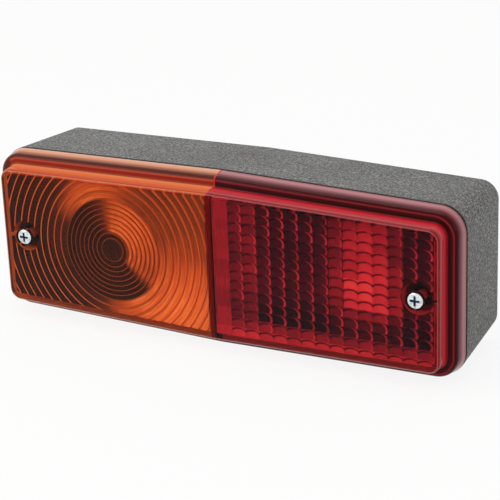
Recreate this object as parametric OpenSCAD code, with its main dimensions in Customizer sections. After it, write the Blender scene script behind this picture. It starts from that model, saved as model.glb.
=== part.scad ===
// Rear combination lamp: a black moulded housing that carries an amber direction lens and a red
// tail and stop lens side by side, each over its own bulb, held on by two long screws.
// Lengths are in millimetres. Every piece is drawn with the lamp lying on its back, depth counted
// along +Z from the rear face. It is then stood up: +X runs to the right seen from the front,
// the lenses face -Y, +Z is up, and the origin is the centre of the rear face.

/* [Outline] */
// Overall length of the lamp
lamp_length = 190; // [180:1:220]
// Height of the lamp at its two ends
lamp_height = 63.4; // [62:0.2:72]
// Rise of each long side at mid-length, where the two lenses meet
crown = 1.8; // [0.6:0.1:3]
// Radius of the four corners seen from the front
corner_r = 9.5; // [8.8:0.1:11]

/* [Housing] */
// Depth of the housing, from the rear face to the rim that the lenses sit on
housing_depth = 38; // [38:0.5:46]
// How far the rear outline lies inside the rim, on each side
draft_inset = 2.9; // [1:0.1:3.2]
// Width of the soft edge round the rear face
rear_edge = 1.2; // [0.4:0.1:2]
// Thickness of the side walls
wall = 2.6; // [2:0.1:2.8]
// Thickness of the rear wall
floor_t = 3; // [2.2:0.1:3.2]
// Distance of each lens screw from the end of the lamp
screw_from_end = 14; // [13.6:0.1:14.4]
// Diameter of the bosses that the lens screws bite into
boss_d = 9; // [7:0.5:9.5]
// Thickness of the rib that stiffens each boss
rib_t = 1.6; // [1:0.1:2.5]
// Diameter of the posts under the reflectors
post_d = 5.6; // [4.8:0.2:5.8]

/* [Mounting] */
// Distance between the two fixing holes in the rear wall
hole_spacing = 142; // [141:0.5:143]
// Diameter of each fixing hole
hole_d = 5.5; // [4.5:0.1:6.5]
// Diameter of the pad round each fixing hole
pad_d = 9.5; // [8.5:0.1:9.8]
// Height of that pad above the rear wall
pad_h = 1.5; // [0.8:0.1:3]

/* [Lenses] */
// Thickness of the gasket between housing and lenses
gasket_t = 0.8; // [0.5:0.1:1.5]
// How far the gasket stays inside the outline, which leaves the dark line round the lamp
gasket_inset = 0.5; // [0.2:0.1:1]
// Wall thickness of the lenses
lens_wall = 2.4; // [2:0.1:2.6]
// Height of the front of the lens flange above the rim
flange_depth = 6.6; // [6:0.1:7.4]
// Slope of the flange's side
flange_draft = 0.9; // [0.3:0.1:1.2]
// Rounding of the flange's front edge
flange_edge_r = 1.7; // [0.8:0.1:2]
// Width of the step between the outline and the foot of the raised panel
panel_step = 4.6; // [4:0.1:4.8]
// Slope of the raised panel's side
panel_draft = 0.4; // [0.1:0.1:0.6]
// Rounding of the raised panel's front edge
panel_edge_r = 1.4; // [0.6:0.1:1.8]
// Radius in the corner between flange and raised panel
step_fillet = 0.6; // [0.3:0.1:0.8]
// Height of the lens front above the rim
lens_depth = 13.2; // [12.6:0.1:15]
// Thickness of the rib that each lens has along the seam
seam_rib = 1.5; // [1:0.1:2]
// Diameter of the pillar behind each lens screw
pillar_d = 12; // [10:0.2:12.4]

/* [Amber optics] */
// Distance from the seam to the centre of the rings, which is also the bulb's light centre
optic_x = 42; // [41:0.1:43]
// Radius of the plain disc in the middle of the rings
disc_r = 4.6; // [3.5:0.1:5.5]
// Width of the first ring round the disc
first_ring = 2.2; // [1.8:0.1:2.6]
// Width of the rings in front of the reflector's dish
ring_pitch = 1.9; // [1.6:0.1:2.4]
// Width of the rings outside the dish
outer_pitch = 3; // [2.6:0.1:3.4]
// Height of the rings on the inner face
ring_h = 0.9; // [0.4:0.1:1.2]

/* [Red optics] */
// Columns of pillows across the red lens
pillow_columns = 14; // [10:1:16]
// Rows of pillows up the red lens
pillow_rows = 14; // [10:1:15]
// Width of the plain band between the seam and the first column
plain_band = 8; // [4:0.5:12]
// Bulge of a pillow across its width
pillow_bulge_x = 0.9; // [0.4:0.1:1.2]
// Bulge of a pillow up its height
pillow_bulge_y = 0.5; // [0.2:0.1:0.8]

/* [Screws and rivets] */
// Thread diameter of the lens screws
screw_d = 3.5; // [2.9:0.1:3.9]
// Length of a lens screw under its head
screw_length = 32; // [26:1:34]
// Diameter of a lens screw's head
head_d = 6.7; // [6:0.1:7]
// Height of a lens screw's head
head_h = 2.4; // [1.8:0.1:2.4]
// Thread diameter of the screws that hold the reflectors
small_screw_d = 2.9; // [2.2:0.1:3]
// Length of a reflector screw under its head
small_screw_length = 8; // [6:0.5:8.5]
// Shank diameter of the rivets that hold the bulb holders
rivet_d = 3; // [2.5:0.1:3.4]

/* [Reflectors] */
// Depth of the reflector's flat floor above the rear face
reflector_level = 13; // [12.6:0.1:14]
// Thickness of the reflectors
reflector_t = 1.2; // [0.8:0.1:1.4]
// Depth of the round dish below the reflector's floor
dish_depth = 7; // [5:0.1:7.2]
// Width of the flat strip between the dish and the reflector's long walls
dish_margin = 0.5; // [0.3:0.1:2]
// How far the reflector's long walls lean out to their rim
tub_flare = 5.5; // [4.6:0.1:5.6]
// Gap between the reflector's rim and the housing's long walls
tub_side_gap = 2.1; // [1.5:0.1:2.3]
// Distance of the reflector's rim below the housing's rim
tub_drop = 0.8; // [0.4:0.1:2]

/* [Bulbs and holders] */
// Diameter of a bulb's glass
glass_d = 25; // [22:0.5:25]
// Thickness of the glass
glass_t = 0.8; // [0.6:0.1:1]
// Length from a bulb's base contact to its light centre
light_centre = 31.75; // [31.5:0.05:32]
// Diameter of a bulb's cap
cap_d = 15; // [14:0.1:15.2]
// Diameter of the two bayonet pins
pin_d = 2; // [1.6:0.1:2.2]
// Sheet thickness of the bulb holders
holder_t = 0.6; // [0.5:0.1:0.8]
// Thickness of a holder's foot
foot_t = 1.2; // [0.8:0.1:1.4]
// Thickness of the insulating plates
insulator_t = 1.5; // [1:0.1:1.8]
// Thickness of the contact strips and of the earth strip
strip_t = 0.5; // [0.4:0.1:0.8]
// Width of the earth strip
earth_w = 6; // [5:0.1:6]

/* [Cable entry] */
// Bore of the cable grommet
cable_d = 6; // [4:0.5:8]
// Diameter of the hole in the rear wall that the grommet sits in
entry_d = 12; // [11:0.2:12.6]
// Depth of the pocket that keeps the grommet below the rear face
pocket_depth = 2; // [1.5:0.1:2.5]

/* [Hidden] */
$fn = 64;

// Overrun of cuts, and how far fused pieces reach into each other
over = 0.5;
// Play between pieces that slide together
play = 0.1;
// Play round a thing that only passes through
free = 0.3;
// Thickness of the layers that a tapering body is stretched over
layer = 0.01;
// Steps along each rounded edge, and round each corner of the outline
round_steps = 6;
corner_steps = 12;

// Outline: centres of the corner rounds, top of the crown, and slope of the long sides
corner_x = lamp_length / 2 - corner_r;
corner_y = lamp_height / 2 - corner_r;
crown_y = lamp_height / 2 + crown;
crown_reach = norm([corner_x, crown_y - corner_y]);
side_slope = atan2(crown_y - corner_y, corner_x) - asin(corner_r / crown_reach);

// Depths along the lamp
lens_back = housing_depth + gasket_t;
flange_front = housing_depth + flange_depth;
lens_front = housing_depth + lens_depth;
panel_back = lens_front - lens_wall;
tub_rim = housing_depth - tub_drop;
tub_back = reflector_level - reflector_t;

// Inset of the raised panel's inner face
panel_inner = panel_step + panel_draft + lens_wall;

// Lens screws stand between the end wall and the reflector
screw_x = lamp_length / 2 - screw_from_end;
head_seat = lens_front - head_h;
screw_bore_d = screw_d + 2 * play;
counterbore_d = head_d + 2 * play;
// Cross recess of a screw head, in shares of the head's diameter and height
cross_length_share = 0.56;
cross_width_share = 0.13;
cross_depth_share = 0.6;

// Bulb: the axis clears the reflector's floor, and the glass is a ball on a neck
glass_clear = 1.5;
ball_ahead = 3.5;
bulb_tip_x = optic_x + ball_ahead + glass_d / 2;
bulb_level = reflector_level + glass_clear + glass_d / 2;
base_x = optic_x - light_centre;
ball_z = light_centre + ball_ahead;
neck_r = 6.5;
cap_from = 1;
cap_to = 19;
neck_from = 13;
pin_z = 8;
pin_proud = 1;
contact_r = 1.6;
twin_y = 2.7;

// Bulb holder: a tube with two bayonet slots on a riveted foot
shell_bore_r = cap_d / 2 + 2 * play;
shell_r = shell_bore_r + holder_t;
shell_back = -1.65;
shell_front = 15;
slot_w = pin_d + 2 * free;
foot_level = bulb_level - reflector_level;
foot_w = 22;
foot_length = 8.4;
rivet_y = 7.5;
rivet_z = foot_length / 2;
rivet_head_d = 1.8 * rivet_d;
rivet_head_h = 0.4 * rivet_d;

// Contact strips run inside the holder, through the insulating plate and down behind it
plate_size = 17;
strip_turn = 5.6;
strip_end = 19;
turn_strip_w = 4;
twin_strip_w = 3;
blade_slot = strip_t + 4 * free;
blade_slot_half = twin_y + twin_strip_w / 2 + free;
insulator_back = shell_back - insulator_t;

// Earth strip under the reflectors, with a tab for the cable's earth core
earth_half = base_x + rivet_z + rivet_d;
earth_y = -rivet_y;
earth_tab_depth = 3.2;

// Reflector tub: half its height, then its seam side and outer side, at its floor and at its rim.
// Its end wall takes a share of the room between the bulb's tip and the lens screw's boss.
end_room = screw_x - boss_d / 2 - bulb_tip_x - 2 * reflector_t;
end_room_share = 0.31;
tub_half_h = lamp_height / 2 - wall - tub_side_gap - tub_flare;
tub_in = seam_rib + 1.7 * reflector_t;
tub_rim_in = seam_rib / 2 + reflector_t / 2;
tub_out = bulb_tip_x + end_room_share * end_room + 1.1 * reflector_t;
tub_rim_out = tub_out + reflector_t / 2;
tub_corner = 2.5 * reflector_t;
// The dish fits the tub both ways
dish_r = min(tub_half_h, tub_out - optic_x - 1.1 * reflector_t + dish_margin) - dish_margin;

// Posts under the reflectors: two beyond the end of the earth strip, two in the outer corners
small_head_d = 1.8 * small_screw_d;
small_head_h = 0.55 * small_screw_d;
post_in_x = earth_half + post_d / 2 + free;
post_out_x = tub_out - reflector_t - small_head_d / 2 - free;
post_y = tub_half_h - reflector_t - small_head_d / 2 - free;

// Cable entry below the middle of the rear wall
entry_y = -15;
entry_web = floor_t;
entry_lip = 1.5;
entry_flange_d = entry_d + 2 * entry_lip;
entry_boss_d = entry_flange_d + 2 * entry_lip;

// Points of a quarter round, from one angle to the other
function arc(centre, r, from, to) = [for (i = [0 : round_steps])
    let (a = from + (to - from) * i / round_steps)
    centre + r * [cos(a), sin(a)]];

// How far the drafted side lies inside the outline at a depth
function draft_at(depth) = draft_inset * (1 - depth / housing_depth);

// Stands the lamp up
module stand() {
    rotate([90, 0, 0])
        children();
}

// Draws for the red side as it is and for the amber side mirrored
module on_side(side) {
    if (side > 0)
        children();
    else
        mirror([1, 0, 0])
            children();
}

// A bulb's own frame: base contact at the origin, +Z along the bulb, +X towards the rear wall
module bulb_frame(side) {
    on_side(side)
        translate([base_x, 0, bulb_level])
            rotate([0, 90, 0])
                children();
}

// Outline of the lamp drawn inwards by an inset: a long box with round corners whose long sides
// rise to a low crown, as points in order
function ring(inset) = let (r = corner_r - inset, top = crown_y - inset / cos(side_slope)) concat(
    corner_arc([corner_x, corner_y], r, 0, 90 - side_slope),
    [[0, top]],
    corner_arc([-corner_x, corner_y], r, 90 + side_slope, 180),
    corner_arc([-corner_x, -corner_y], r, 180, 270 - side_slope),
    [[0, -top]],
    corner_arc([corner_x, -corner_y], r, 270 + side_slope, 360));

function corner_arc(centre, r, from, to) = [for (i = [0 : corner_steps])
    let (a = from + (to - from) * i / corner_steps)
    centre + r * [cos(a), sin(a)]];

module outline(inset) {
    polygon(ring(inset));
}

// A body that follows the outline: rings of it, one for each [inset, depth] of a section, joined
module loft(section) {
    n = len(ring(0));
    last = (len(section) - 1) * n;
    polyhedron(
        [for (s = section, q = ring(s.x)) [q.x, q.y, s.y]],
        concat(
            [[for (j = [0 : n - 1]) j]],
            [[for (j = [n - 1 : -1 : 0]) last + j]],
            [for (k = [0 : n : last - n], j = [0 : n - 1]) let (m = (j + 1) % n)
                [k + j, k + n + j, k + n + m, k + m]]));
}

// Outer form of the housing: drafted sides and a soft rear edge
module housing_body() {
    loft([[draft_inset + rear_edge, 0], [draft_at(rear_edge), rear_edge], [0, housing_depth]]);
}

// Hollow of the housing, open at the rim
module housing_hollow() {
    loft([[draft_at(floor_t) + wall, floor_t], [wall, housing_depth],
        [wall, housing_depth + over]]);
}

// Bosses, ribs, pads and posts that rise from the rear wall on one side
module housing_inner(side) {
    on_side(side) {
        translate([screw_x, 0, floor_t / 2])
            cylinder(d = boss_d, h = housing_depth - floor_t / 2);
        translate([screw_x, -rib_t / 2, floor_t / 2])
            cube([lamp_length / 2 - screw_x, rib_t, housing_depth - flange_depth]);
        translate([hole_spacing / 2, 0, floor_t / 2])
            cylinder(d = pad_d, h = floor_t / 2 + pad_h);
        for (x = [post_in_x, post_out_x], sy = [-1, 1])
            translate([x, sy * post_y, floor_t / 2])
                cylinder(d = post_d, h = tub_back - floor_t / 2);
    }
}

// Housing: one black moulding with a grained skin
module housing() {
    color("dimgray")
        stand()
            difference() {
                union() {
                    difference() {
                        housing_body();
                        housing_hollow();
                    }
                    intersection() {
                        housing_body();
                        for (side = [-1, 1])
                            housing_inner(side);
                    }
                    translate([0, entry_y, floor_t / 2])
                        cylinder(d = entry_boss_d, h = pocket_depth + entry_web - floor_t / 2);
                }
                for (side = [-1, 1])
                    on_side(side) {
                        translate([screw_x, 0, head_seat - screw_length - free])
                            cylinder(d = screw_bore_d, h = screw_length);
                        translate([hole_spacing / 2, 0, -over])
                            cylinder(d = hole_d, h = floor_t + pad_h + 2 * over);
                        for (place = reflector_screw_places())
                            translate([place.x, place.y, tub_back - small_screw_length])
                                cylinder(d = small_screw_d + 2 * play, h = small_screw_length + over);
                    }
                translate([0, entry_y, -over])
                    cylinder(d = entry_d + 2 * play, h = pocket_depth + entry_web + 2 * over);
                translate([0, entry_y, -over])
                    cylinder(d = entry_flange_d + 2 * play, h = pocket_depth + over);
            }
}

// Gasket: a flat rubber ring between the housing's rim and the lens flanges
module lens_gasket() {
    color("black")
        stand()
            translate([0, 0, housing_depth])
                linear_extrude(gasket_t)
                    difference() {
                        outline(gasket_inset);
                        outline(wall);
                    }
}

// Outer section of the lenses, from the flange's back to the front of the raised panel
lens_section = concat(
    [[0, lens_back]],
    arc([flange_draft + flange_edge_r, flange_front - flange_edge_r], flange_edge_r, 180, 90),
    arc([panel_step - step_fillet, flange_front + step_fillet], step_fillet, -90, 0),
    arc([panel_step + panel_draft + panel_edge_r, lens_front - panel_edge_r],
        panel_edge_r, 180, 90));

// Inner section of the lenses, one wall thickness inside
lens_hollow_section = [[wall, lens_back - over], [wall, flange_front - lens_wall],
    [panel_inner - panel_draft, flange_front - lens_wall], [panel_inner, panel_back]];

// Everything on the right of the seam
module right_of_seam() {
    translate([0, -lamp_height, 0])
        cube([lamp_length, 2 * lamp_height, lens_front + over]);
}

// Plain moulding that both lenses share: shell, seam rib, and the pillar and rib of its screw
module lens_moulding(side) {
    on_side(side) {
        intersection() {
            right_of_seam();
            difference() {
                loft(lens_section);
                difference() {
                    loft(lens_hollow_section);
                    translate([-seam_rib, -lamp_height, lens_back])
                        cube([2 * seam_rib, 2 * lamp_height, lens_depth]);
                }
            }
        }
        translate([screw_x, 0, housing_depth])
            cylinder(d = pillar_d, h = panel_back + over - housing_depth);
        translate([screw_x, -rib_t / 2, flange_front - lens_wall / 2])
            cube([lamp_length / 2 - panel_inner + over - screw_x, rib_t,
                panel_back + over - flange_front + lens_wall / 2]);
    }
}

// Hole and counterbore for the lens screw
module lens_screw_hole(side) {
    on_side(side) {
        translate([screw_x, 0, housing_depth - over])
            cylinder(d = screw_bore_d, h = lens_depth + 2 * over);
        translate([screw_x, 0, head_seat])
            cylinder(d = counterbore_d, h = head_h + over);
    }
}

// Field that the rings fill: the inside of the panel as far as the screw's pillar
module ring_window() {
    intersection() {
        loft([[panel_inner - over, panel_back - 2 * ring_h], [panel_inner - over, lens_front]]);
        translate([seam_rib / 2, -lamp_height, 0])
            cube([screw_x + pillar_d / 2 - seam_rib / 2, 2 * lamp_height, lens_front]);
    }
}

// Radii at which the rings step back: narrow rings as far as the dish, wide ones outside it
ring_first = disc_r + first_ring;
ring_last = ring_first + floor((dish_r - ring_first) / ring_pitch) * ring_pitch;
ring_reach = norm([lamp_length / 2 - optic_x, lamp_height / 2]);
ring_radii = concat([0, disc_r],
    [for (r = [ring_first : ring_pitch : ring_last - ring_pitch / 2]) r],
    [for (r = [ring_last : outer_pitch : ring_reach + outer_pitch]) r]);

// Section of the rings: each is thick at its inner edge and runs out to nothing
ring_profile = concat(
    [[0, panel_back + over]],
    [for (i = [0 : len(ring_radii) - 2]) each [[ring_radii[i], panel_back - ring_h],
        [ring_radii[i + 1], panel_back]]],
    [[ring_radii[len(ring_radii) - 1], panel_back + over]]);

// Amber lens: stepped rings round the bulb's light centre on its inner face
module lens_amber() {
    color("darkorange", 0.8)
        stand()
            difference() {
                union() {
                    lens_moulding(-1);
                    on_side(-1)
                        intersection() {
                            ring_window();
                            translate([optic_x, 0, 0])
                                rotate_extrude()
                                    polygon(ring_profile);
                        }
                }
                lens_screw_hole(-1);
            }
}

// Pillow field of the red lens: inside the panel's walls, in upright columns
field_from = plain_band;
field_to = lamp_length / 2 - panel_inner - 2 * free;
field_half = wall_inside(field_from) - free;
pillow_w = (field_to - field_from) / pillow_columns;
pillow_h = 2 * field_half / pillow_rows;
pillow_steps = 3;

// Half the height inside the panel's long walls at a distance from the seam
function wall_inside(x) = crown_y - x * tan(side_slope) - panel_inner / cos(side_slope);

// Share of the full bulge at a step up one pillow
function bulge_share(i) = 1 - pow(2 * (i % pillow_steps) / pillow_steps - 1, 2);

// One column of pillows: a scalloped barrel lying upright, of which a shallow slice stands out,
// cut to its half height
module pillow_column(half) {
    w = pillow_w - play;
    r = (pow(w / 2, 2) + pow(pillow_bulge_x, 2)) / (2 * pillow_bulge_x);
    bulge = pillow_bulge_x + pillow_bulge_y;
    steps = pillow_rows * pillow_steps;
    intersection() {
        translate([0, -field_half, panel_back - bulge + r])
            rotate([-90, 0, 0])
                rotate_extrude()
                    polygon(concat([[0, 0]],
                        [for (j = [0 : steps]) [r - pillow_bulge_y * (1 - bulge_share(j)),
                            j * pillow_h / pillow_steps]],
                        [[0, 2 * field_half]]));
        translate([-w / 2, -half, panel_back - bulge - over])
            cube([w, 2 * half, bulge + 2 * over]);
    }
}

// Red lens: a field of pillows on its inner face
module lens_red() {
    color("crimson", 0.8)
        stand()
            difference() {
                union() {
                    lens_moulding(1);
                    for (i = [0 : pillow_columns - 1])
                        translate([field_from + (i + 0.5) * pillow_w, 0, 0])
                            pillow_column(wall_inside(field_from + (i + 1) * pillow_w) - free);
                }
                lens_screw_hole(1);
            }
}

// Pan head with a cross recess, seated at depth zero
module screw_head(d, h) {
    difference() {
        rotate_extrude()
            polygon(concat([[0, 0], [d / 2, 0]], arc([d / 2 - h / 2, h / 2], h / 2, 0, 90),
                [[0, h]]));
        for (a = [0, 90])
            rotate([0, 0, a])
                translate([-d * cross_length_share / 2, -d * cross_width_share / 2,
                    h * (1 - cross_depth_share)])
                    cube([d * cross_length_share, d * cross_width_share, h]);
    }
}

// Screw with a plain shank in place of its thread, and a blunt point
module screw(d, length, across, h) {
    screw_head(across, h);
    translate([0, 0, -length])
        rotate_extrude()
            polygon([[0, 0], [d / 4, 0], [d / 2, d / 2], [d / 2, length + h / 4],
                [0, length + h / 4]]);
}

// Lens screws: long, zinc plated, their heads level with the front of the lens
module lens_screw(side) {
    color("silver")
        stand()
            on_side(side)
                translate([screw_x, 0, head_seat])
                    screw(screw_d, screw_length, head_d, head_h);
}

// A block that leans out from a floor outline to a rim outline, each given as [in, out, half]
module tub_block(low, high, from, to) {
    hull() {
        translate([0, 0, from])
            linear_extrude(layer)
                tub_outline(low);
        translate([0, 0, to - layer])
            linear_extrude(layer)
                tub_outline(high);
    }
}

// Outline of a reflector at one depth: a box with round corners
module tub_outline(box) {
    union() {
        for (x = [box[0] + tub_corner, box[1] - tub_corner], sy = [-1, 1])
            translate([x, sy * (box[2] - tub_corner)])
                circle(tub_corner, $fn = 32);
        translate([box[0], tub_corner - box[2]])
            square([box[1] - box[0], 2 * (box[2] - tub_corner)]);
        translate([box[0] + tub_corner, -box[2]])
            square([box[1] - box[0] - 2 * tub_corner, 2 * box[2]]);
    }
}

// Depth of the dish at a radius
function dish_at(r) = reflector_level - dish_depth * (1 - pow(r / dish_r, 2));

// Dish of one reflector: a shallow bowl of even thickness
module dish() {
    steps = 2 * round_steps;
    translate([optic_x, 0, 0])
        rotate_extrude()
            polygon(concat(
                [for (i = [0 : steps]) [i * dish_r / steps, dish_at(i * dish_r / steps)]],
                [for (i = [steps : -1 : 0]) [i * (dish_r + reflector_t) / steps,
                    dish_at(i * dish_r / steps) - reflector_t]]));
}

// Where the reflector screws go: one post near the seam and one at the far corner
function reflector_screw_places() = [[post_in_x, -post_y], [post_out_x, post_y]];

// Reflector: a bright tub with leaning walls and a round dish behind the bulb
module reflector(side) {
    low = [tub_in, tub_out, tub_half_h];
    high = [tub_rim_in, tub_rim_out, tub_half_h + tub_flare];
    skin = [reflector_t, -reflector_t, -reflector_t];
    slot_x = base_x + insulator_back - strip_t / 2;
    color("gainsboro")
        stand()
            on_side(side) {
                difference() {
                    union() {
                        difference() {
                            tub_block(low, high, tub_back, tub_rim);
                            tub_block(low + skin, high + skin, reflector_level, tub_rim + layer);
                            translate([optic_x, 0, 0])
                                cylinder(r = dish_r, h = housing_depth);
                        }
                        dish();
                    }
                    for (place = reflector_screw_places())
                        translate([place.x, place.y, 0])
                            cylinder(d = small_screw_d + 2 * play, h = housing_depth);
                    for (sy = [-1, 1])
                        translate([base_x + rivet_z, sy * rivet_y, 0])
                            cylinder(d = rivet_d + 2 * play, h = housing_depth);
                    translate([slot_x - blade_slot / 2, -blade_slot_half, 0])
                        cube([blade_slot, 2 * blade_slot_half, housing_depth / 2]);
                }
            }
}

// Reflector screws: two short screws for each reflector
module reflector_screws() {
    color("silver")
        stand()
            for (side = [-1, 1], place = reflector_screw_places())
                on_side(side)
                    translate([place.x, place.y, reflector_level])
                        screw(small_screw_d, small_screw_length, small_head_d, small_head_h);
}

// Bulb holder: a pressed tube with two bayonet slots, and a folded foot under it
module bulb_holder(side) {
    color("lightsteelblue")
        stand()
            bulb_frame(side)
                difference() {
                    union() {
                        translate([0, 0, shell_back])
                            cylinder(r = shell_r, h = shell_front - shell_back);
                        for (z = [0, foot_length - foot_t])
                            translate([0, -foot_w / 2 + foot_t, z])
                                cube([foot_level, foot_w - 2 * foot_t, foot_t]);
                        translate([foot_level - foot_t, -foot_w / 2, 0])
                            cube([foot_t, foot_w, foot_length]);
                    }
                    translate([0, 0, shell_back - over])
                        cylinder(r = shell_bore_r, h = shell_front - shell_back + 2 * over);
                    for (sy = [-1, 1])
                        translate([foot_level - foot_t - over, sy * rivet_y, rivet_z])
                            rotate([0, 90, 0])
                                cylinder(d = rivet_d + 2 * play, h = foot_t + 2 * over);
                    for (turn = [0, 180])
                        rotate([0, 0, turn])
                            bayonet_slot();
                }
}

// Slot for one bayonet pin: straight in, a short way round, and back a little
module bayonet_slot() {
    reach = shell_r + over;
    translate([-slot_w / 2, 0, pin_z - slot_w / 2])
        cube([slot_w, reach, slot_w]);
    for (a = [0, 25])
        rotate([0, 0, -a])
            translate([-slot_w / 2, 0, pin_z - slot_w / 2 - (a > 0 ? slot_w / 2 : 0)])
                cube([slot_w, reach, a > 0 ? shell_front : slot_w]);
    rotate([0, 0, -12.5])
        translate([-slot_w, 0, pin_z - slot_w])
            cube([2 * slot_w, reach, slot_w]);
}

// Rivets: two for each holder, through its foot, the reflector and, at the bottom, the earth strip
module holder_rivets() {
    color("silver")
        stand()
            for (side = [-1, 1], sy = [-1, 1])
                on_side(side)
                    translate([base_x + rivet_z, sy * rivet_y, 0])
                        rivet(reflector_level + foot_t,
                            tub_back - (sy < 0 ? strip_t : 0));
}

// One rivet between the two faces that it clamps
module rivet(top, bottom) {
    translate([0, 0, bottom - rivet_head_h])
        cylinder(d = rivet_d, h = top - bottom + 2 * rivet_head_h);
    for (z = [bottom - rivet_head_h, top])
        translate([0, 0, z])
            cylinder(d = rivet_head_d, h = rivet_head_h);
}

// Places and width of the contact strips of one side
function strip_places(side) = side < 0 ? [0] : [-twin_y, twin_y];
function strip_w(side) = side < 0 ? turn_strip_w : twin_strip_w;

// Insulating plate: hard paper, closing the rear of a holder and carrying its contacts
module insulator(side) {
    color("peru")
        stand()
            bulb_frame(side)
                difference() {
                    translate([-plate_size / 2, -plate_size / 2, insulator_back])
                        cube([plate_size, plate_size, insulator_t]);
                    for (y = strip_places(side))
                        translate([strip_turn - play, y - strip_w(side) / 2 - play,
                            insulator_back - over])
                            cube([strip_t + 2 * play, strip_w(side) + 2 * play,
                                insulator_t + 2 * over]);
                }
}

// Contact strip: a sprung tongue against the bulb's base, folded through the plate to a blade
module contact(side, y) {
    color("goldenrod")
        stand()
            bulb_frame(side)
                translate([0, y + strip_w(side) / 2, 0])
                    rotate([90, 0, 0])
                        linear_extrude(strip_w(side))
                            polygon([[-contact_r, -strip_t], [-contact_r, 0], [contact_r, 0],
                                [strip_turn, shell_back + strip_t],
                                [strip_turn + strip_t, shell_back + strip_t],
                                [strip_turn + strip_t, insulator_back],
                                [strip_end, insulator_back],
                                [strip_end, insulator_back - strip_t],
                                [strip_turn, insulator_back - strip_t],
                                [strip_turn, shell_back],
                                [strip_turn - strip_t, shell_back],
                                [contact_r - strip_t / 2, -strip_t]]);
}

// Earth strip: joins the two holders under the reflectors and ends in a tab for the cable
module earth_strip() {
    color("goldenrod")
        stand()
            translate([0, earth_y, tub_back - strip_t])
                difference() {
                    union() {
                        translate([-earth_half, -earth_w / 2, 0])
                            cube([2 * earth_half, earth_w, strip_t]);
                        translate([-strip_t / 2, -earth_w / 2, -earth_tab_depth])
                            cube([strip_t, earth_w, earth_tab_depth + strip_t / 2]);
                    }
                    for (sx = [-1, 1])
                        translate([sx * (base_x + rivet_z), 0, -over])
                            cylinder(d = rivet_d + 2 * play, h = strip_t + 2 * over);
                }
}

// Bulb cap: brass, with two bayonet pins and one or two solder contacts on its base
module bulb_cap(side) {
    color("gold")
        stand()
            bulb_frame(side)
                difference() {
                    union() {
                        translate([0, 0, cap_from])
                            cylinder(d = cap_d, h = cap_to - cap_from);
                        for (y = strip_places(side))
                            translate([0, y, 0])
                                cylinder(r = side < 0 ? contact_r : strip_w(side) / 2,
                                    h = cap_from + over);
                        translate([0, 0, pin_z])
                            rotate([90, 0, 0])
                                cylinder(d = pin_d, h = cap_d + 2 * pin_proud, center = true);
                    }
                    translate([0, 0, neck_from])
                        cylinder(r = neck_r + play, h = cap_to);
                }
}

// Section of a bulb's glass between two skins: a neck that opens into a ball
function glass_line(inset) = let (
    r = glass_d / 2 - inset,
    n = neck_r - inset,
    from = -acos(n / r))
    concat([[n, neck_from]], [for (i = [0 : 2 * round_steps])
        let (a = from + (90 - from) * i / (2 * round_steps))
        [r * cos(a), ball_z + r * sin(a)]]);

// Bulb glass: clear, hollow, with its neck cemented in the cap
module bulb_glass(side) {
    inner = glass_line(glass_t);
    color("white", 0.4)
        stand()
            bulb_frame(side)
                rotate_extrude()
                    polygon(concat(glass_line(0),
                        [for (i = [len(inner) - 1 : -1 : 0]) inner[i]]));
}

// Filament on its stem: two lead wires and a short coil, and a second coil in the red bulb
wire_d = 0.6;
stem_r = 2.6;
stem_to = 22;
lead_y = 2.3;
coil_d = 1.4;
second_z = 5;

module filament(side) {
    color("white")
        stand()
            bulb_frame(side) {
                translate([0, 0, neck_from])
                    cylinder(r = stem_r, h = stem_to - neck_from);
                for (z = side < 0 ? [light_centre] : [light_centre, light_centre - second_z]) {
                    x = z < light_centre ? stem_r / 2 : 0;
                    for (sy = [-1, 1])
                        translate([x - wire_d / 2, sy * (lead_y - wire_d) - wire_d / 2,
                            stem_to - over])
                            cube([wire_d, wire_d, z - stem_to + over]);
                    translate([x, 0, z])
                        rotate([90, 0, 0])
                            cylinder(d = coil_d, h = 2 * lead_y, center = true);
                }
            }
}

// Cable grommet: a rubber ring with a groove for the web of the rear wall
module cable_grommet() {
    sunk = play;
    color("black")
        stand()
            translate([0, entry_y, 0])
                rotate_extrude()
                    polygon([[cable_d / 2, sunk], [entry_flange_d / 2, sunk],
                        [entry_flange_d / 2, pocket_depth], [entry_d / 2, pocket_depth],
                        [entry_d / 2, pocket_depth + entry_web],
                        [entry_flange_d / 2, pocket_depth + entry_web],
                        [entry_d / 2, pocket_depth + entry_web + entry_lip],
                        [cable_d / 2, pocket_depth + entry_web + entry_lip]]);
}

housing();
lens_gasket();
lens_amber();
lens_red();
lens_screw(-1);  // lens_screw_left
lens_screw(1);  // lens_screw_right
reflector(-1);  // reflector_amber
reflector(1);  // reflector_red
reflector_screws();
bulb_holder(-1);  // bulb_holder_amber
bulb_holder(1);  // bulb_holder_red
holder_rivets();
insulator(-1);  // insulator_amber
insulator(1);  // insulator_red
contact(-1, 0);  // contact_turn
contact(1, twin_y);  // contact_stop
contact(1, -twin_y);  // contact_tail
earth_strip();
bulb_cap(-1);  // bulb_cap_amber
bulb_cap(1);  // bulb_cap_red
bulb_glass(-1);  // bulb_glass_amber
bulb_glass(1);  // bulb_glass_red
filament(-1);  // filament_amber
filament(1);  // filament_red
cable_grommet();
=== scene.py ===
import math

import bpy
from mathutils import Matrix, Vector


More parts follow.
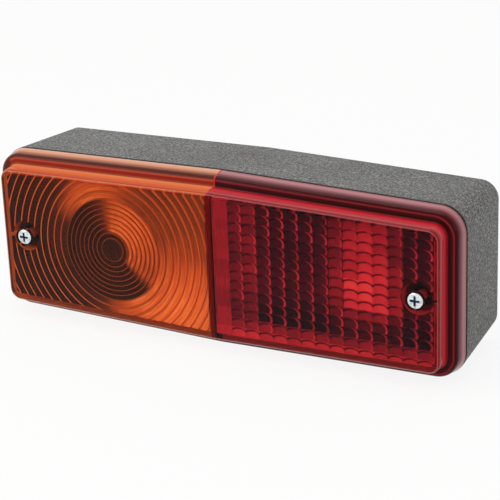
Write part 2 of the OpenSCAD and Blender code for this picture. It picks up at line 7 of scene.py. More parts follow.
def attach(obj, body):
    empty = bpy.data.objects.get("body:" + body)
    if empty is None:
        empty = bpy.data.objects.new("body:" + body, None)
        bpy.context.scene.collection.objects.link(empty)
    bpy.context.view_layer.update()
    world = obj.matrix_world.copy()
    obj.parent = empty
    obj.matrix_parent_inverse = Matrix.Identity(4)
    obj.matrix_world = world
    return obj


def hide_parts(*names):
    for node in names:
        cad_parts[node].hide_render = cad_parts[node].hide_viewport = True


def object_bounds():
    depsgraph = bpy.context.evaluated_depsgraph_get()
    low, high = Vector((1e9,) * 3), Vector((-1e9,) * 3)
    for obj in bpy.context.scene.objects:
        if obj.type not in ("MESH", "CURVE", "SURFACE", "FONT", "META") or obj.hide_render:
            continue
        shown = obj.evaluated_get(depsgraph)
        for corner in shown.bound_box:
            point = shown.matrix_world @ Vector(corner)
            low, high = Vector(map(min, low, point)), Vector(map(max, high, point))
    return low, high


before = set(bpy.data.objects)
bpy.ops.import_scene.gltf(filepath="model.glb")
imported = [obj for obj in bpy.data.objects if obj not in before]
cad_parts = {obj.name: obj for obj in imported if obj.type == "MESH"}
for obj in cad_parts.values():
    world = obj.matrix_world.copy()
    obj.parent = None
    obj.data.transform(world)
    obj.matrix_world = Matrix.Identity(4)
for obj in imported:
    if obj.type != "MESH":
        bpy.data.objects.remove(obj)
cad_box = [list(corner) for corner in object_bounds()]
scene = bpy.context.scene
scene.view_settings.view_transform = "Standard"

# Camera at the photograph's angle: seen from the right and from above, through a long lens that
# hardly narrows the far end. The lamp fills the photograph's width but for a narrow border.
camera_place = (0.30771, -0.57507, 0.23918)
degrees_to_the_right = 28.98
degrees_above = 20.99
degrees_of_roll = -2.288
camera = bpy.data.objects.new("camera", bpy.data.cameras.new("camera"))
scene.collection.objects.link(camera)
scene.camera = camera
camera.data.sensor_width = 36
camera.data.lens = 129.78
camera.matrix_world = (
    Matrix.Translation(camera_place)
    @ Matrix.Rotation(math.radians(degrees_to_the_right), 4, "Z")
    @ Matrix.Rotation(math.radians(90 - degrees_above), 4, "X")
    @ Matrix.Rotation(math.radians(degrees_of_roll), 4, "Z")
)


# Floor: a plain pale table top under the lowest point of the lamp. It shows white to the camera
# and in gloss and glass, and keeps a faint part of the shadow that the lamps throw on it.
def linear(hex_colour):
    """A colour written as sRGB hex, in the linear values that Blender's sockets take."""
    parts = [int(hex_colour[i : i + 2], 16) / 255 for i in (1, 3, 5)]
    return [p / 12.92 if p <= 0.04045 else ((p + 0.055) / 1.055) ** 2.4 for p in parts] + [1]


def new_tree(name):
    """An empty material, and its node tree."""
    made = bpy.data.materials.new(name)
    made.use_nodes = True
    made.node_tree.nodes.clear()
    return made, made.node_tree


def add(tree, kind, inputs=(), stops=(), **settings):
    """Adds a node with its settings, the stops of its colour ramp, and its inputs in order or by
    name: a value, a hex colour, a socket, or a node that stands for its first live output."""
    node = tree.nodes.new("ShaderNode" + kind)
    for name, value in settings.items():
        setattr(node, name, value)
    for place, (position, colour) in enumerate(stops):
        marks = node.color_ramp.elements
        if 0 < place < len(stops) - 1:
            mark = marks.new(position)
        else:
            mark = marks[-1 if place else 0]
        mark.position = position
        mark.color = linear(colour) if isinstance(colour, str) else colour
    for name, value in inputs.items() if isinstance(inputs, dict) else enumerate(inputs):
        if isinstance(value, bpy.types.Node):
            value = next(output for output in value.outputs if output.enabled)
        if isinstance(value, bpy.types.NodeSocket):
            tree.links.new(value, node.inputs[name])
        else:
            node.inputs[name].default_value = linear(value) if isinstance(value, str) else value
    return node


def in_sight(tree):
    """1 for what the camera sees, straight on or in gloss and glass, and 0 for lighting."""
    path = add(tree, "LightPath").outputs
    seen = add(tree, "Math", (path["Is Camera Ray"], path["Is Glossy Ray"]), operation="MAXIMUM")
    return add(tree, "Math", (seen, path["Is Transmission Ray"]), operation="MAXIMUM")


bpy.ops.object.select_all(action="DESELECT")
bpy.ops.mesh.primitive_plane_add(size=6, location=(0, 0, cad_box[0][2]))
floor = bpy.context.object
floor.name = "floor"
floor_paint, tree = new_tree("white_painted_table")
share_without_shadow = 0.86
share = add(tree, "Math", (in_sight(tree), share_without_shadow), operation="MULTIPLY")
paint = add(tree, "BsdfDiffuse", {"Color": "#e6e6e4"})
shine = add(tree, "Emission", {"Color": "#ffffff", "Strength": 1.02})
both = add(tree, "MixShader", (share, paint, shine))
add(tree, "OutputMaterial", (both,))
floor.data.materials.append(floor_paint)

# Studio light: an even room, which shows white and lights the lamp at half of that, and three soft
# boxes: one above, one in front on the left, and a weaker one on the right.
room_light = 0.5
world = bpy.data.worlds.new("studio")
scene.world = world
world.use_nodes = True
tree = world.node_tree
tree.nodes.clear()
level = add(tree, "MapRange", {"Value": in_sight(tree), "To Min": room_light, "To Max": 1})
sky = add(tree, "Background", {"Color": "#ffffff", "Strength": level})
add(tree, "OutputWorld", (sky,))
for name, place, size, power in (
    ("box_above", (-0.1, -0.1, 1.2), 0.9, 6.0),
    ("box_front", (-0.9, -1.1, 0.7), 0.7, 7.0),
    ("box_right", (1.3, -0.5, 0.5), 0.6, 2.2),
):
    lamp = bpy.data.objects.new(name, bpy.data.lights.new(name, "AREA"))
    lamp.data.size = size
    lamp.data.energy = power
    lamp.location = place
    lamp.rotation_euler = (-Vector(place)).to_track_quat("-Z", "Y").to_euler()
    scene.collection.objects.link(lamp)


# Housing: one deep black moulding, open at the front, whose outer skin is spark grained so that
# scratches don't show. Seen close, the grain breaks the light up into a fine grey speckle.
def dress(node, material, angle=30):
    """Stands a copy of a node's shape in for it, with its loose triangles joined to one skin and
    its round faces shaded smooth."""
    piece = bpy.data.objects.new(node + "_dressed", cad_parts[node].data.copy())
    scene.collection.objects.link(piece)
    bpy.ops.object.select_all(action="DESELECT")
    bpy.context.view_layer.objects.active = piece
    piece.select_set(True)
    bpy.ops.object.mode_set(mode="EDIT")
    bpy.ops.mesh.select_all(action="SELECT")
    bpy.ops.mesh.remove_doubles(threshold=1e-6)
    bpy.ops.object.mode_set(mode="OBJECT")
    if piece.data.has_custom_normals:
        bpy.ops.mesh.customdata_custom_splitnormals_clear()
    bpy.ops.object.shade_smooth_by_angle(angle=math.radians(angle))
    piece.data.materials.clear()
    piece.data.materials.append(material)
    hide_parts(node)
    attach(piece, "root")
    return piece


grained, tree = new_tree("spark_grained_black_abs")
place = add(tree, "TexCoord").outputs["Object"]
# The crests of the mould's grain stand about 0.3 mm apart. That is finer than a pixel, so they
# are drawn 0.8 mm apart.
crest_gap = 0.0008
grain = add(tree, "TexNoise", {"Vector": place, "Scale": 1 / crest_gap, "Detail": 5,
    "Roughness": 0.8})
speckle = add(tree, "ValToRGB", (grain,), ((0.41, "#2a2a29"), (0.5, "#515150"), (0.6, "#969590")))
# Where the skin has cooled unevenly, the grey drifts slowly, over some 30 mm
drift_length = 0.03
drift = add(tree, "TexNoise", {"Vector": place, "Scale": 1 / drift_length, "Detail": 2})
drift = add(tree, "MapRange", (drift, 0.35, 0.65, 0.84, 1.1))
# The last millimetre before the gasket lies in the shade of the lenses' edge
shade_from, shade_to = -0.0371, -0.0376
depth = add(tree, "SeparateXYZ", (place,)).outputs["Y"]
shade = add(tree, "MapRange", (depth, shade_from, shade_to, 1, 0.25))
tone = add(tree, "VectorMath", (speckle, drift), operation="MULTIPLY")
tone = add(tree, "VectorMath", (tone, shade), operation="MULTIPLY")
relief = add(tree, "Bump", {"Strength": 0.15, "Distance": 0.0001, "Height": grain})
skin = add(tree, "BsdfPrincipled", {"Base Color": tone, "Roughness": 0.62, "Normal": relief})
add(tree, "OutputMaterial", (skin,))
dress("housing", grained)


# Cable grommet: a soft black rubber ring pressed into the rear wall, with a groove that grips it.
# Moulded rubber is dull, with a faint bloom in patches of about 3 mm.
def mottled(name, patch, detail, shades, stretch=(1, 1, 1), **finish):
    """A material whose colour wanders between two shades in patches of a size in metres, which
    may be drawn out, with a finish that names its shader's values. Returns it, its tree, the
    pattern and the shader."""
    made, tree = new_tree(name)
    place = add(tree, "Mapping", {"Vector": add(tree, "TexCoord").outputs["Object"],
        "Scale": [part / patch for part in stretch]})
    cloud = add(tree, "TexNoise", {"Vector": place, "Scale": 1, "Detail": detail})
    tone = add(tree, "ValToRGB", (cloud,), shades)
    values = {key.replace("_", " "): value for key, value in finish.items()}
    skin = add(tree, "BsdfPrincipled", {"Base Color": tone, **values})
    add(tree, "OutputMaterial", (skin,))
    return made, tree, cloud, skin


rubber = mottled("moulded_black_rubber", 0.0033, 3, ((0.35, "#080808"), (0.7, "#1c1c1b")),
    Roughness=0.7)[0]
dress("cable_grommet", rubber)

# Lens gasket: a flat ring cut from rubber sheet, squeezed between the housing's rim and the two
# lenses. Only its edge shows, as a thin black line.
dress("lens_gasket", rubber)

# Reflectors: two injection moulded tubs, coated inside and out with a thin film of aluminium
# under clear lacquer, which dries with a faint haze in patches of about 8 mm.
coated = mottled("vacuum_metallised_plastic", 0.0083, 3, ((0.3, "#9a9a98"), (0.7, "#c8c8c6")),
    Metallic=1, Roughness=0.24)[0]
for side in ("amber", "red"):
    dress("reflector_" + side, coated)

# Reflector screws and holder rivets: turned steel, zinc plated and passivated, which leaves a
# bright skin with a bluish cast, clouded in patches of about 1 mm.
plated, tree, cloud, skin = mottled("zinc_plated_steel", 0.0011, 3,
    ((0.3, "#aab4ba"), (0.7, "#e2e6e6")), Metallic=1)
dull = add(tree, "MapRange", (cloud, 0, 1, 0.2, 0.34))
tree.links.new(dull.outputs[0], skin.inputs["Roughness"])
dress("reflector_screws", plated)
dress("holder_rivets", plated)

# Bulb holders: a tube and a folded foot, pressed from thin steel sheet and tin plated. The tin
# is duller than zinc, and its crystals are about 4 mm across.
pressed = mottled("tin_plated_pressed_steel", 0.0038, 3, ((0.3, "#8c8f91"), (0.7, "#b9bcbd")),
    Metallic=1, Roughness=0.35)[0]
for side in ("amber", "red"):
    dress("bulb_holder_" + side, pressed)

# Insulating plates: stamped from hard paper, layers of paper pressed with brown resin, whose
# fibres show as streaks about 2 mm long and a third of a millimetre wide.
paper = mottled("stamped_resin_paper", 0.002, 4, ((0.35, "#6b4526"), (0.7, "#9a6a3c")),
    stretch=(1, 1, 6), Roughness=0.5)[0]
for side in ("amber", "red"):
    dress("insulator_" + side, paper)

# Contacts and earth strip: cut and bent from spring brass strip, with a light brown tarnish and
# the marks of rolling along it, about 11 mm long and 1 mm wide.
strip = mottled("rolled_spring_brass", 0.0011, 3, ((0.3, "#a5803c"), (0.7, "#d9b866")),
    stretch=(0.1, 1, 1), Metallic=1, Roughness=0.3)[0]
for node in ("contact_turn", "contact_stop", "contact_tail", "earth_strip"):
    dress(node, strip)

# Bulb caps: drawn brass cups with two pins, cemented on the neck of the glass. Handling stains
# them in patches of about 5 mm, and they are a little duller than the contacts.
drawn = mottled("drawn_cap_brass", 0.005, 4, ((0.35, "#9c7f45"), (0.65, "#c9ab64")),
    Metallic=1, Roughness=0.36)[0]
for side in ("amber", "red"):
    dress("bulb_cap_" + side, drawn)

# Filaments: tungsten coils on wire leads, held by a glass stem. The drawn wire is dark grey with
# a weak metal shine, in streaks of about 0.4 mm.
coil = mottled("drawn_tungsten_wire", 0.0004, 2, ((0, "#5a5a5c"), (1, "#a0a0a2")),
    Metallic=1, Roughness=0.4)[0]
for side in ("amber", "red"):
    dress("filament_" + side, coil)


# Bulb glasses: blown from clear soda glass, thin and smooth, and sealed at the tip. They show by
# the lights in them more than by any colour.
def finish_glass(tree, glass, tint):
    """Ends a clear material: light from the lamps passes it as a plain tint."""
    through = add(tree, "BsdfTransparent", {"Color": tint})
    shadow = add(tree, "LightPath").outputs["Is Shadow Ray"]
    both = add(tree, "MixShader", (shadow, glass, through))
    add(tree, "OutputMaterial", (both,))


blown, tree = new_tree("blown_soda_glass")
glass = add(tree, "BsdfPrincipled",
    {"Base Color": "#fbfdfc", "Roughness": 0.01, "IOR": 1.5, "Transmission Weight": 1})
finish_glass(tree, glass, "#f4f6f5")
for side in ("amber", "red"):
    dress("bulb_glass_" + side, blown)


# Lenses: injection moulded from clear amber and clear red acrylic, polished outside. The optics on
# the inner face break up the view of the inside into bright and dark rings and pillows, which are
# painted on that face as light and shade, and the flange and the side walls carry painted
# highlights, dark bands and a painted glow for the light that the moulding leads along.
def split_faces(piece, optics):
    """Gives the optics' material to the faces of a lens that look inwards: to the rear or at the
    piece itself."""
    piece.data.materials.append(optics)
    bpy.context.view_layer.update()
    rearwards = 0.3
    off_the_face = 1e-5
    inward = [
        face.normal.y > rearwards
        or piece.ray_cast(face.center + off_the_face * face.normal, face.normal)[0]
        for face in piece.data.polygons
    ]
    piece.data.polygons.foreach_set("material_index", [int(value) for value in inward])


def bell(tree, source, centre, inner, outer):
    """1 within a distance of the centre, falling to 0 at an outer distance."""
    away = add(tree, "Math", (source, centre), operation="SUBTRACT")
    away = add(tree, "Math", (away,), operation="ABSOLUTE")
    return add(tree, "MapRange", (away, inner, outer, 1, 0))


def axes_and_depth(tree):
    """Object coordinates by axis in metres, and the depth from the rear face in millimetres."""
    axes = add(tree, "SeparateXYZ", (add(tree, "TexCoord").outputs["Object"],)).outputs
    return axes, add(tree, "Math", (axes["Y"], -1000), operation="MULTIPLY")


# Depth at which the housing ends and the pillars of the lenses stand on it, in millimetres
lens_foot = 38


def clear_plastic(name, tint, light_and_shade_by_depth, light_and_shade_by_inset, seam_light):
    """Outer skin of a lens: see-through in the front plate, and in the flange and the side walls
    painted light and shade at each depth, and on the flange's front at each inset, with a
    painted line of light by the seam."""
    made, tree = new_tree(name)
    axes, depth = axes_and_depth(tree)
    span = 14
    along = add(tree, "MapRange", (depth, lens_foot, lens_foot + span, 0, 1))
    walls = add(tree, "ValToRGB", (along,),
        [((at - lens_foot) / span, colour) for at, colour in light_and_shade_by_depth])
    # Share of the way from the lamp's outline across the flange to the raised panel. The outline
    # has round corners, and its long sides rise to a low crown.
    crown_slope = 0.021
    corner_middle = (0.0855, 0.024, 0)
    outline_radius, panel_radius = 0.0095, 0.0049
    away = add(tree, "VectorMath", (add(tree, "TexCoord").outputs["Object"],),
        operation="ABSOLUTE")
    sides = add(tree, "SeparateXYZ", (away,)).outputs
    height = add(tree, "Math", (sides["X"], crown_slope, sides["Z"]), operation="MULTIPLY_ADD")
    corner = add(tree, "CombineXYZ", (sides["X"], height))
    corner = add(tree, "VectorMath", (corner, corner_middle), operation="SUBTRACT")
    corner = add(tree, "VectorMath", (corner, (0, 0, 0)), operation="MAXIMUM")
    reach = add(tree, "VectorMath", (corner,), operation="LENGTH")
    across = add(tree, "MapRange", (reach, outline_radius, panel_radius, 0, 1))
    face = add(tree, "ValToRGB", (across,), light_and_shade_by_inset)
    # The sockets of a Mix node go by number, because their names repeat: 0 is the share, 2 and 3
    # are two numbers, 6 and 7 two colours, and the mixed colour comes out at 2
    flange_front = 44.6
    front = bell(tree, depth, flange_front, 0.15, 0.3)
    walls = add(tree, "Mix", {0: front, 6: walls, 7: face}, data_type="RGBA")
    # A line of light just right of the seam, about half a millimetre wide
    seam_line = 0.0003
    end = bell(tree, axes["X"], seam_line, 0.0002, 0.0004)
    walls = add(tree, "Mix", {0: end, 6: walls, 7: seam_light}, data_type="RGBA")
    # The left rim turns away from the light
    rim_from, rim_to = -0.0891, -0.0894
    rim = add(tree, "MapRange", (axes["X"], rim_from, rim_to, 0, 1))
    walls = add(tree, "Mix", {0: rim, 6: walls, 7: "#5c2410"}, data_type="RGBA")
    # The front plate is clear, and its rounded edge becomes so gradually
    plate_from, plate_to = 50.75, 51.1
    see_through = add(tree, "MapRange", (depth, plate_from, plate_to, 0, 1))
    colour = add(tree, "Mix", {0: see_through, 6: walls, 7: tint}, data_type="RGBA")
    glass = add(tree, "BsdfPrincipled", {"Base Color": colour, "Roughness": 0.03, "IOR": 1.49,
        "Transmission Weight": see_through, "Specular Tint": (0.12, 0.12, 0.12, 1)})
    finish_glass(tree, glass, tint)
    return made


def moulded_optics(name, tint, painted_light_colours, paint_light):
    """Inner skin of a lens, opaque and painted with light and shade, from 0 to 1, in the painted
    light colours. They lie behind the tinted front plate, so each is divided by what the plate
    takes out of it."""
    made, tree = new_tree(name)
    tint_power = 1.5
    behind = [
        (at, [part / taken ** tint_power for part, taken in zip(linear(colour), linear(tint))])
        for at, colour in painted_light_colours
    ]
    shown = add(tree, "ValToRGB", (paint_light(tree, *axes_and_depth(tree)),), behind)
    skin = add(tree, "BsdfPrincipled",
        {"Base Color": shown, "Roughness": 0.5, "Specular IOR Level": 0})
    add(tree, "OutputMaterial", (skin,))
    return made


def wall_painted_light(tree, depth):
    """Painted light of the side walls and of the screw's pillar: painted dark at the pillar's
    foot, which stands on the black housing, and painted brighter towards the front."""
    span = 10
    along = add(tree, "MapRange", (depth, lens_foot, lens_foot + span, 0, 1))
    return add(tree, "ValToRGB", (along,), [((at - lens_foot) / span, (level, level, level, 1))
        for at, level in ((38, 0.3), (38.4, 0.4), (40, 0.7), (43, 0.86), (48, 0.92))])


def ring_painted_light(tree, axes, depth):
    """Painted light and shade of the rings: its level changes with the angle round their centre,
    in three belts, and each step between two rings draws a thin painted line."""
    ring_middle = -0.042
    # Radii of the disc, of its dark surround, and of where the narrow and the wide rings begin
    disc_r, dark_r, narrow_r, wide_r = 0.0046, 0.006, 0.0068, 0.0201
    narrow_pitch, wide_pitch = 0.0019, 0.003
    x = add(tree, "Math", (axes["X"], ring_middle), operation="SUBTRACT")
    flat = add(tree, "CombineXYZ", (x, axes["Z"]))
    r = add(tree, "VectorMath", (flat,), operation="LENGTH")
    turn = add(tree, "Math", (axes["Z"], x), operation="ARCTAN2")
    turn = add(tree, "MapRange", (turn, -math.pi, math.pi, 0, 1))
    # Painted light by the angle in degrees, 0 on the right and 90 at the top: on the narrow rings
    # in front of the reflector's dish, on the wide rings round them, and on those near the lens's
    # ends
    belts = [
        add(tree, "ValToRGB", (turn,),
            [((angle + 180) / 360, (level, level, level, 1)) for angle, level in belt])
        for belt in (
            ((-180, 0.07), (-60, 0.07), (-46, 0.1), (-33, 0.7), (-10, 0.78), (30, 0.93),
                (65, 1), (88, 0.88), (104, 0.35), (122, 0.1), (135, 0.07), (180, 0.07)),
            ((-180, 0.16), (-150, 0.1), (-120, 0.12), (-100, 0.3), (-85, 0.6), (-60, 0.87),
                (-30, 0.82), (-5, 0.66), (20, 0.42), (50, 0.36), (75, 0.52), (100, 0.78),
                (125, 0.82), (145, 0.5), (160, 0.2), (180, 0.16)),
            ((-180, 0.06), (-120, 0.06), (-95, 0.3), (-60, 0.87), (-30, 0.92), (-8, 0.74),
                (2, 0.51), (20, 0.38), (50, 0.32), (80, 0.4), (120, 0.34), (140, 0.15),
                (160, 0.08), (180, 0.06)),
        )
    ]
    fade = add(tree, "MapRange", (r, dark_r, 0.02, 1, 0.85))
    inner = add(tree, "Math", (belts[0], fade), operation="MULTIPLY")
    # The disc in the middle is painted in shade, at a low level of light
    disc_painted_level = 0.08
    past_disc = add(tree, "MapRange", (r, 0.0058, 0.0075, 0, 1))
    inner = add(tree, "Mix", {0: past_disc, 2: disc_painted_level, 3: inner})
    past_middle = add(tree, "MapRange", (r, 0.025, 0.031, 0, 1))
    outer = add(tree, "Mix", {0: past_middle, 2: belts[1], 3: belts[2]})
    wide = add(tree, "MapRange", (r, wide_r - 0.00005, wide_r + 0.00005, 0, 1))
    zone = add(tree, "Mix", {0: wide, 2: inner, 3: outer})
    # Share of the way across a ring, for the narrow rings and for the wide ones outside them
    counts = [add(tree, "MapRange", (r, start, start + pitch, 0, 1), clamp=False)
        for start, pitch in ((narrow_r, narrow_pitch), (wide_r, wide_pitch))]
    count = add(tree, "Mix", {0: wide, 2: counts[0], 3: counts[1]})
    share = add(tree, "Math", (count,), operation="FRACT")
    # A line reaches from the last part of a ring over the step to the first part of the next
    line = add(tree, "Math", (add(tree, "MapRange", (share, 0.1, 0.05, 0, 1)),
        add(tree, "MapRange", (share, 0.84, 0.89, 0, 1))), operation="MAXIMUM")
    past_disc = add(tree, "MapRange", (r, dark_r, dark_r + 0.0002, 0, 1))
    line = add(tree, "Math", (line, past_disc), operation="MULTIPLY")
    disc_line = bell(tree, r, disc_r, 0.0001, 0.00025)
    line = add(tree, "Math", (line, disc_line), operation="MAXIMUM")
    # Flow marks of the moulding along the rings, 0.7 mm wide and about 25 degrees long
    marks_per_metre, marks_per_turn = 1500, 14
    polar = add(tree, "CombineXYZ", (
        add(tree, "Math", (r, marks_per_metre), operation="MULTIPLY"),
        add(tree, "Math", (turn, marks_per_turn), operation="MULTIPLY")))
    streak = add(tree, "TexNoise", {"Vector": polar, "Scale": 1, "Detail": 2})
    streak = add(tree, "MapRange", (streak, 0.3, 0.7, 0.8, 1.15))
    # Painted shade across each ring: brighter at its inner edge, darker towards its outer edge
    slope = add(tree, "MapRange", (share, 0, 1, 1.08, 0.85))
    uneven = add(tree, "Math", (streak, slope), operation="MULTIPLY")
    bands = add(tree, "Math", (zone, uneven), operation="MULTIPLY")
    # The lines are painted: brighter than the dark belts, as thin painted highlights along the
    # steps, and darker than the bright belts, as painted shade
    lit = add(tree, "MapRange", (r, 0.019, 0.03, 0.46, 0.76))
    lines = add(tree, "Math", (zone, 0.66), operation="MULTIPLY")
    lines = add(tree, "Math", (lit, lines), operation="MAXIMUM")
    rings = add(tree, "Mix", {0: line, 2: bands, 3: lines})
    # The side walls behind the rings, and the margin along the left end
    walls_from, walls_to = 47.7, 47.3
    margin_from, margin_to = -0.0878, -0.089
    edge = add(tree, "Math", (add(tree, "MapRange", (depth, walls_from, walls_to, 0, 1)),
        add(tree, "MapRange", (axes["X"], margin_from, margin_to, 0, 1))), operation="MAXIMUM")
    return add(tree, "Mix", {0: edge, 2: rings, 3: wall_painted_light(tree, depth)})


def pillow_painted_light(tree, axes, depth):
    """Painted light and shade of the pillows: each column and row has its own painted level,
    brightest right of the middle. Dark pillows show a painted highlight, a crescent on the upper
    right, and bright ones a painted dark arc of shade along the top."""
    # Pillows counted from the lower left corner of their field, 14 by 14 on 79.5 by 52 mm
    each_way = 14
    left, right, half_height = 0.008, 0.0875, 0.026
    across = add(tree, "MapRange", (axes["X"], left, right, 0, each_way), clamp=False)
    up = add(tree, "MapRange", (axes["Z"], -half_height, half_height, 0, each_way), clamp=False)
    # Each column and row from the left and from below: its level of painted light, and the least
    # painted light that it keeps whatever crosses it
    columns = ((0.3, 0.27), (0.38, 0.33), (0.17, 0), (0.12, 0), (0.11, 0), (0.12, 0), (0.16, 0),
        (0.48, 0), (0.78, 0), (0.88, 0), (0.78, 0), (0.48, 0), (0.1, 0), (0.1, 0))
    rows = ((0.55, 0.68), (0.4, 0.4), (0.12, 0), (0.2, 0), (0.5, 0), (0.9, 0), (1, 0),
        (0.95, 0), (0.82, 0), (0.74, 0), (0.7, 0), (0.68, 0), (0.62, 0), (0.6, 0))
    # The plain bands before the first and after the last pillow are painted at light levels of
    # their own
    before, after = (0.47, 0.47), (0.72, 0.72)
    levels, leasts = [], []
    for count, values in ((across, columns), (up, rows)):
        stops = [(place / (each_way + 2), (level, least, 0, 1))
            for place, (level, least) in enumerate((before, *values, after))]
        along = add(tree, "MapRange", (count, -1, each_way + 1, 0, 1))
        ramp = add(tree, "ValToRGB", (along,), stops)
        ramp.color_ramp.interpolation = "CONSTANT"
        parts = add(tree, "SeparateColor", (ramp,)).outputs
        levels.append(parts["Red"])
        leasts.append(parts["Green"])
    zone = add(tree, "Math", levels, operation="MULTIPLY")
    for least in leasts:
        zone = add(tree, "Math", (zone, least), operation="MAXIMUM")
    cell = add(tree, "CombineXYZ", [add(tree, "Math", (count,), operation="FLOOR")
        for count in (across, up)])
    chance = add(tree, "TexWhiteNoise", {"Vector": cell})
    zone = add(tree, "Math", (zone, add(tree, "MapRange", (chance, 0, 1, 0.82, 1.12))),
        operation="MULTIPLY")
    # Place on a pillow, from its lower left corner
    here = add(tree, "CombineXYZ", [add(tree, "Math", (count,), operation="FRACT")
        for count in (across, up)])
    soft = 0.02
    field = add(tree, "Math", (add(tree, "MapRange", (across, -soft, soft, 0, 1)),
        add(tree, "MapRange", (across, each_way + soft, each_way - soft, 0, 1))),
        operation="MULTIPLY")
    # Two arcs, each by the middle of its circle, a radius, and the share of the radius at which it
    # lies: the painted highlight crescent on the upper right, and the painted dark arc of shade
    # along the top
    arcs = []
    for centre, radius, share in (((0.15, 0.3, 0), 0.74, 0.97), ((0.45, 0.05, 0), 0.72, 1.1)):
        offset = add(tree, "VectorMath", (here, centre), operation="SUBTRACT")
        away = add(tree, "VectorMath", (offset,), operation="LENGTH")
        away = add(tree, "Math", (away, radius), operation="DIVIDE")
        arc = add(tree, "Math", (bell(tree, away, share, 0.06, 0.2), field), operation="MULTIPLY")
        arcs.append(arc)
    crescent = add(tree, "Math", (arcs[0], add(tree, "MapRange", (chance, 0, 1, 0.36, 0.68))),
        operation="MULTIPLY")
    # The crescent fades towards the left of its pillow
    rightwards = add(tree, "MapRange", (add(tree, "SeparateXYZ", (here,)), 0.3, 0.8, 0.25, 1))
    crescent = add(tree, "Math", (crescent, rightwards), operation="MULTIPLY")
    shaded = add(tree, "MapRange", (arcs[1], 0, 1, 1, 0.3))
    lit = add(tree, "Math", (zone, shaded), operation="MULTIPLY")
    lit = add(tree, "Math", (lit, crescent), operation="MAXIMUM")
    # Flow marks of the moulding along the plain band, 0.5 mm wide and 12 mm long
    marks_per_column, marks_per_row = 11, 0.3
    marks = add(tree, "CombineXYZ", (
        add(tree, "Math", (across, marks_per_column), operation="MULTIPLY"),
        add(tree, "Math", (up, marks_per_row), operation="MULTIPLY")))
    marks = add(tree, "MapRange", (add(tree, "TexNoise", {"Vector": marks, "Scale": 1}),
        0.3, 0.7, 0.72, 1.05))
    plain = add(tree, "Mix", {0: field, 2: marks, 3: 1})
    lit = add(tree, "Math", (lit, plain), operation="MULTIPLY")
    # The side walls behind the pillows
    walls_from, walls_to = 47.2, 46.8
    edge = add(tree, "MapRange", (depth, walls_from, walls_to, 0, 1))
    return add(tree, "Mix", {0: edge, 2: lit, 3: wall_painted_light(tree, depth)})


# The amber lens's colours by depth and by inset are painted light and shade: dark at the rear
# edge, which sees the black gasket, pale highlights on the flange, a dark band in front of them,
# and a bright painted glow on the panel's wall. The last colour is the painted line of light by
# the seam.
amber = clear_plastic("polished_amber_acrylic_with_painted_light", "#ffd0a0",
    ((38, "#240c06"), (38.8, "#240c06"), (39.1, "#cc9c8a"), (39.7, "#dca084"), (40.4, "#da9470"),
        (41.2, "#d0825a"), (42, "#a45a34"), (42.9, "#74381c"), (43.5, "#5a220e"),
        (44.4, "#561c0a"), (44.9, "#963420"), (45.2, "#dc8050"), (46, "#e88450"),
        (47, "#e47846"), (48.4, "#de6a3a"), (49.4, "#ce5a2c"), (50.2, "#be4216"),
        (51, "#b83c12")),
    ((0, "#561c0a"), (0.3, "#561c0a"), (0.42, "#541204"), (0.49, "#b44834"), (0.58, "#b44834"),
        (0.65, "#92200c"), (0.88, "#942e18"), (1, "#9c4426")), "#b45024")
# The amber rings' colours, from painted shade to the brightest painted light
rings = moulded_optics("amber_rings_with_painted_light_and_shade", "#ffd0a0",
    ((0, "#1c0c04"), (0.25, "#5c220e"), (0.5, "#a83c12"), (0.75, "#dc541c"), (1, "#fa7830")),
    ring_painted_light)
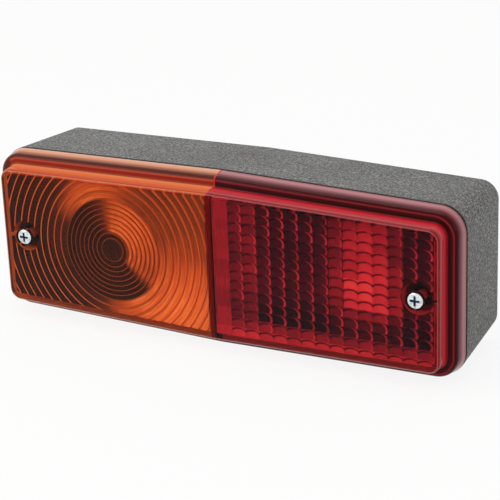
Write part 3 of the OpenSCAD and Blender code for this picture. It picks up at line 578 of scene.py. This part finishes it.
# The red lens's colours are painted light and shade in the same way, with the painted line of
# light by the seam last.
red = clear_plastic("polished_red_acrylic_with_painted_light", "#ff9599",
    ((38, "#100204"), (38.8, "#100204"), (39.1, "#985c58"), (39.8, "#b0767a"), (40.5, "#b0747a"),
        (41.2, "#9c5c62"), (41.8, "#84444a"), (42.4, "#641c24"), (43, "#4c0c12"),
        (44.4, "#3e0408"), (44.9, "#801018"), (45.6, "#a61820"), (46.3, "#c42632"),
        (47, "#cc3440"), (47.8, "#c43a42"), (48.6, "#b8383c"), (49.4, "#a82a2e"),
        (50, "#941c20"), (50.6, "#880e14"), (51, "#800a12")),
    ((0, "#3e0408"), (0.3, "#500810"), (0.42, "#420408"), (0.47, "#84242a"), (0.55, "#741a1e"),
        (0.62, "#400408"), (0.88, "#320406"), (1, "#500408")), "#c42420")
# The red pillows' colours, from painted shade to the brightest painted light
pillows = moulded_optics("red_pillows_with_painted_light_and_shade", "#ff9599",
    ((0, "#18060a"), (0.25, "#640c14"), (0.5, "#a8141c"), (0.75, "#d42228"), (1, "#fc3830")),
    pillow_painted_light)
split_faces(dress("lens_amber", amber, 25), rings)
split_faces(dress("lens_red", red, 25), pillows)

# Lens screws: long pan head screws with a cross recess, one near each end, sunk level with the
# front of the lenses. Their cross recess is painted in shade, a darker blue grey, and is duller.
screw_from_middle = 0.081
recess_r, recess_front, soft = 0.0025, -0.051, 0.0001
steel_with_shaded_recess, tree, _, skin = mottled("zinc_plated_steel_with_painted_shade_in_recess", 0.0011, 3,
    ((0.3, "#b4bec2"), (0.7, "#f0f2f2")), Metallic=1)
axes = add(tree, "SeparateXYZ", (add(tree, "TexCoord").outputs["Object"],)).outputs
# Distance from the middle of the nearer screw, seen from the front
aside = add(tree, "Math", (axes["X"],), operation="ABSOLUTE")
aside = add(tree, "Math", (aside, screw_from_middle), operation="SUBTRACT")
away = add(tree, "CombineXYZ", (aside, axes["Z"]))
away = add(tree, "VectorMath", (away,), operation="LENGTH")
within = add(tree, "MapRange", (away, recess_r + soft, recess_r - soft, 0, 1))
sunk = add(tree, "MapRange", (axes["Y"], recess_front - soft, recess_front + soft, 0, 1))
recess = add(tree, "Math", (within, sunk), operation="MULTIPLY")
bright = skin.inputs["Base Color"].links[0].from_node
# Painted shade in the recess: a darker blue grey over the plated colour
shaded_recess_colour = add(tree, "Mix", {0: recess, 6: bright, 7: "#48688a"}, data_type="RGBA")
tree.links.new(shaded_recess_colour.outputs[2], skin.inputs["Base Color"])
dull = add(tree, "MapRange", (recess, 0, 1, 0.24, 0.6))
tree.links.new(dull.outputs[0], skin.inputs["Roughness"])
for end in ("left", "right"):
    dress("lens_screw_" + end, steel_with_shaded_recess)

bpy.context.view_layer.update()
